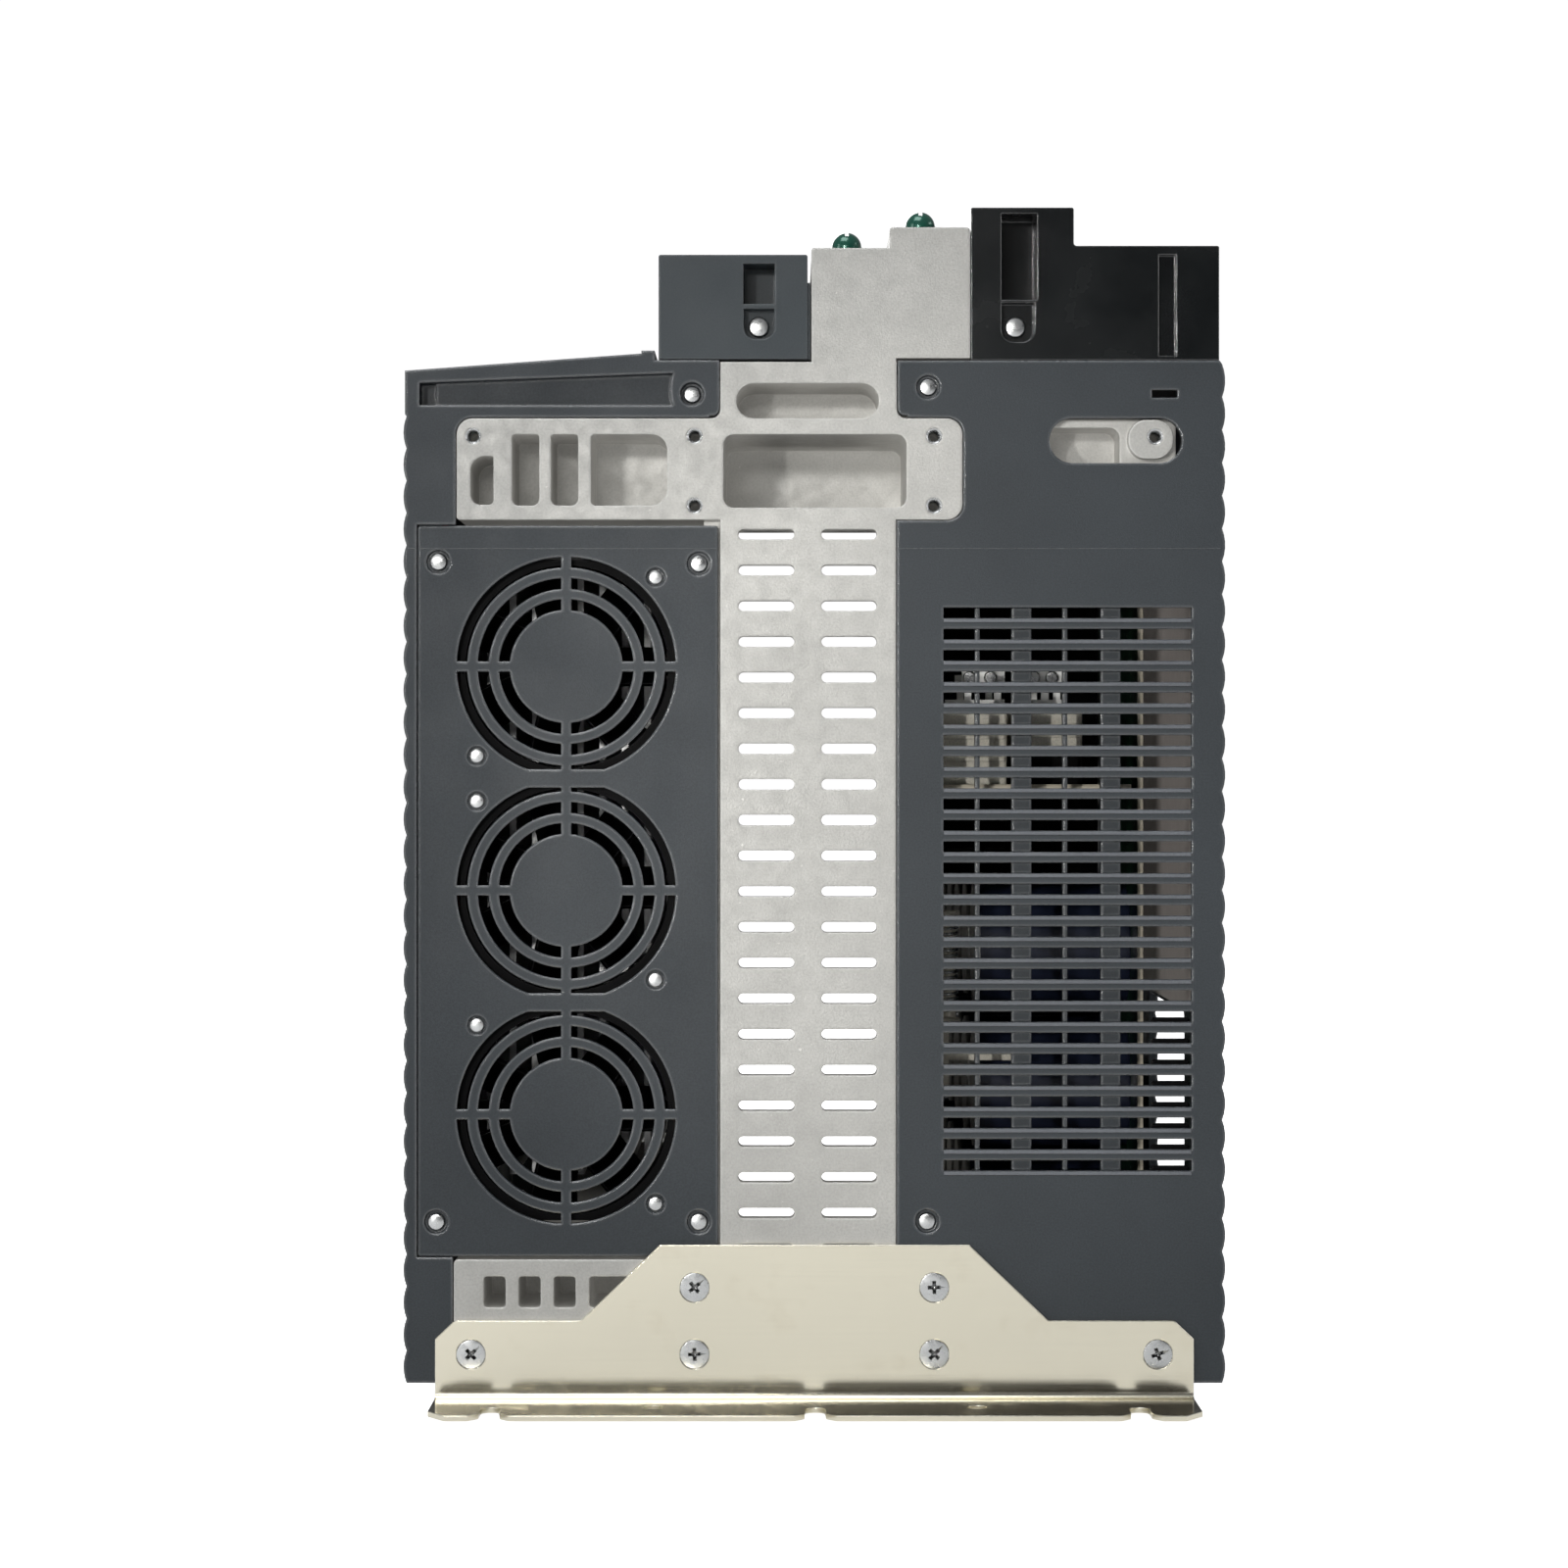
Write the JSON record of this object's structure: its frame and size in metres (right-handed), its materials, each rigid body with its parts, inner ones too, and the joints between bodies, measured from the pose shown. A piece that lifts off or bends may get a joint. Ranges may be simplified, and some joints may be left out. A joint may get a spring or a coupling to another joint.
{
  "type": "servo drive",
  "caption": "Wall-mounted servo drive unit: die-cast chassis with air chimney, dark plastic housings, fans, louvres, terminals and slotted mounting brackets.",
  "frame": {"origin": "middle of the mounting plane, where the wall side of the bracket feet lies", "axes": "+Z out of the mounting plane towards the operator side, -Y the air-inlet end with the fans and terminals, +X to the right when looking at that end"},
  "size_m": [0.23, 0.419, 0.3345],
  "materials": {
    "cast_aluminium": "shot-blasted die casting, satin",
    "extruded_aluminium": "extruded, mill finish",
    "nickel_sheet": "nickel plated, bent sheet",
    "zinc_steel": "bright zinc plated",
    "green_lacquer": "green lacquered earth screws",
    "dark_plastic": "dark blue-grey moulded, fine texture",
    "black_gloss": "near-black moulded, semi-gloss",
    "fan_plastic": "black glass-filled plastic",
    "bearing_brass": "turned",
    "module_plastic": "white module case",
    "tinned_copper": "tinned",
    "board_green": "printed board with solder mask",
    "connector_plastic": "pluggable connector",
    "smoked_window": "smoked window",
    "button_rubber": "soft button cap",
    "capacitor_sleeve": "shrink sleeve",
    "relay_case": "beige case",
    "copper_bar": "copper",
    "liner_paper": "grey-brown insulating paper",
    "core_iron": "varnished lamination stack"
  },
  "bodies": {
    "unit": {"chassis": "cast_aluminium", "lower_bracket": "nickel_sheet", "upper_bracket": "nickel_sheet", "bracket_screws": "zinc_steel", "earth_screws": "green_lacquer", "left_housing": "dark_plastic", "right_housing": "dark_plastic", "fan_cover": "dark_plastic", "fan_cover_screws": "zinc_steel", "fan_screws": "zinc_steel", "housing_screws": "zinc_steel", "fan_frame_top": "fan_plastic", "fan_frame_middle": "fan_plastic", "fan_frame_bottom": "fan_plastic", "fan_bearings": "bearing_brass", "heat_sink": "extruded_aluminium", "power_modules": "module_plastic", "module_pins": "tinned_copper", "power_board": "board_green", "control_board": "board_green", "board_spacers": "bearing_brass", "board_screws": "zinc_steel", "control_connectors": "connector_plastic", "door_hinge_pins": "zinc_steel", "centre_cover": "dark_plastic", "display_window": "smoked_window", "display_board": "board_green", "display_spacers": "bearing_brass", "motor_terminal_block": "dark_plastic", "mains_terminal_block": "black_gloss", "clamp_screws": "zinc_steel", "terminal_screws": "zinc_steel", "capacitor_board": "board_green", "dc_capacitors": "capacitor_sleeve", "relay_board": "board_green", "relay_blocks": "relay_case", "relay_terminals": "tinned_copper", "relay_sockets": "fan_plastic", "divider_screen": "fan_plastic", "side_liner": "liner_paper", "brake_terminals": "relay_case", "bus_bars": "copper_bar", "choke_bracket": "zinc_steel", "choke_core": "core_iron", "choke_coil": "copper_bar", "outlet_grille": "dark_plastic", "outlet_grille_screws": "zinc_steel"},
    "rotor_top": {"fan_rotor_top": "fan_plastic"},
    "rotor_middle": {"fan_rotor_middle": "fan_plastic"},
    "rotor_bottom": {"fan_rotor_bottom": "fan_plastic"},
    "door": {"control_door": "dark_plastic"},
    "button_1": {"push_button_1": "button_rubber"},
    "button_2": {"push_button_2": "button_rubber"}
  },
  "joints": [
    {"name": "fan_top_spin", "type": "hinge", "parent": "unit", "child": "rotor_top", "pos_m": [-0.0695, -0.1641, 0.206], "axis": [0, 1, 0], "continuous": true},
    {"name": "fan_middle_spin", "type": "hinge", "parent": "unit", "child": "rotor_middle", "pos_m": [-0.0695, -0.1641, 0.1433], "axis": [0, 1, 0], "continuous": true},
    {"name": "fan_bottom_spin", "type": "hinge", "parent": "unit", "child": "rotor_bottom", "pos_m": [-0.0695, -0.1641, 0.0806], "axis": [0, 1, 0], "continuous": true},
    {"name": "door_hinge", "type": "hinge", "parent": "unit", "child": "door", "pos_m": [-0.10814, 0.005, 0.28704], "axis": [0, -1, 0], "range_deg": [0, 95]},
    {"name": "button_1_press", "type": "slide", "parent": "unit", "child": "button_1", "axis": [0, 0, -1], "range_m": [0, 0.001], "stiffness_N_per_m": 400},
    {"name": "button_2_press", "type": "slide", "parent": "unit", "child": "button_2", "axis": [0, 0, -1], "range_m": [0, 0.001], "stiffness_N_per_m": 400}
  ]
}
